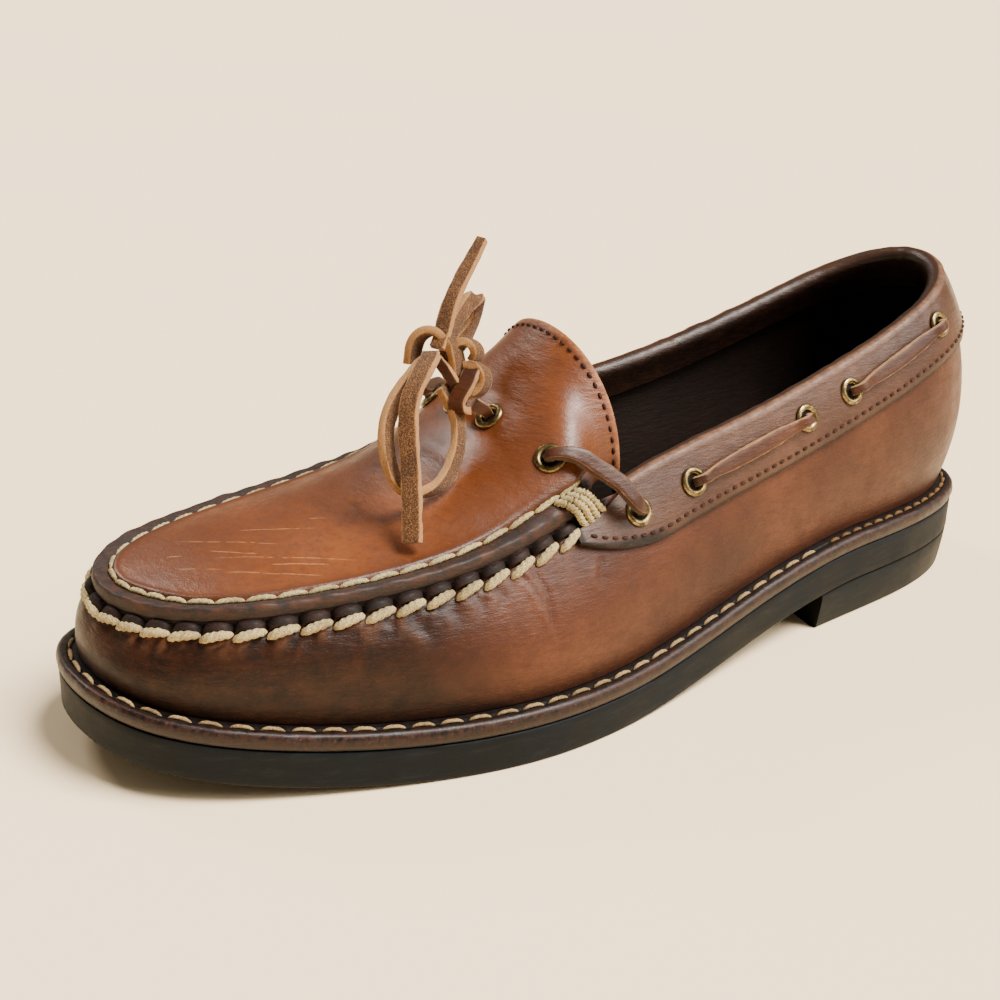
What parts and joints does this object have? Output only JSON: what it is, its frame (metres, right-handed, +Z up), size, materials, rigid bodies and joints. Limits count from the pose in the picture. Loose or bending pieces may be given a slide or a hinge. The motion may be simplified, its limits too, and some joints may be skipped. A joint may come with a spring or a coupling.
{
  "type": "boat shoe",
  "caption": "Leather boat shoe with a hand-sewn moccasin toe, a lace-threaded collar, a bow over the tongue, a stitched leather midsole and a rubber sole and heel.",
  "frame": {"origin": "on the floor under the middle of the shoe's bounding box", "axes": "+Z up, -Y towards the toe, +Y towards the heel, +X towards the little-toe side of this left shoe"},
  "size_m": [0.1102, 0.3032, 0.1223],
  "materials": {
    "outsole": "matt moulded rubber",
    "heel": "matt moulded rubber",
    "midsole": "dark burnished leather edge with light scuffs",
    "insole": "smooth brown lining leather",
    "upper": "semi-gloss pull-up leather, creased",
    "plug_and_tongue": "semi-gloss pull-up leather, lighter tan",
    "collar": "semi-gloss pull-up leather",
    "back_stay": "semi-gloss pull-up leather",
    "eyelets": "antiqued brass",
    "lace": "flat rawhide, rough cut edges"
  },
  "bodies": {
    "root": {"outsole": "outsole", "heel": "heel", "midsole": "midsole", "insole": "insole", "upper": "upper", "plug_and_tongue": "plug_and_tongue", "collar": "collar", "back_stay": "back_stay", "collar_eyelet_lateral_front": "eyelets", "collar_eyelet_lateral_second": "eyelets", "collar_eyelet_lateral_third": "eyelets", "collar_eyelet_lateral_fourth": "eyelets", "collar_eyelet_lateral_rear": "eyelets", "plug_eyelet_lateral_outer": "eyelets", "plug_eyelet_lateral_inner": "eyelets", "collar_eyelet_medial_front": "eyelets", "collar_eyelet_medial_second": "eyelets", "collar_eyelet_medial_third": "eyelets", "collar_eyelet_medial_fourth": "eyelets", "collar_eyelet_medial_rear": "eyelets", "plug_eyelet_medial_outer": "eyelets", "plug_eyelet_medial_inner": "eyelets", "lace_bar_lateral_front": "lace", "lace_bar_lateral_rear": "lace", "lace_cross_lateral": "lace", "lace_leg_lateral": "lace", "lace_bar_medial_front": "lace", "lace_bar_medial_rear": "lace", "lace_cross_medial": "lace", "lace_leg_medial": "lace", "bow_knot": "lace", "bow_loop_front": "lace", "bow_loop_back": "lace", "bow_end_hanging": "lace", "bow_end_upright": "lace"}
  },
  "joints": []
}
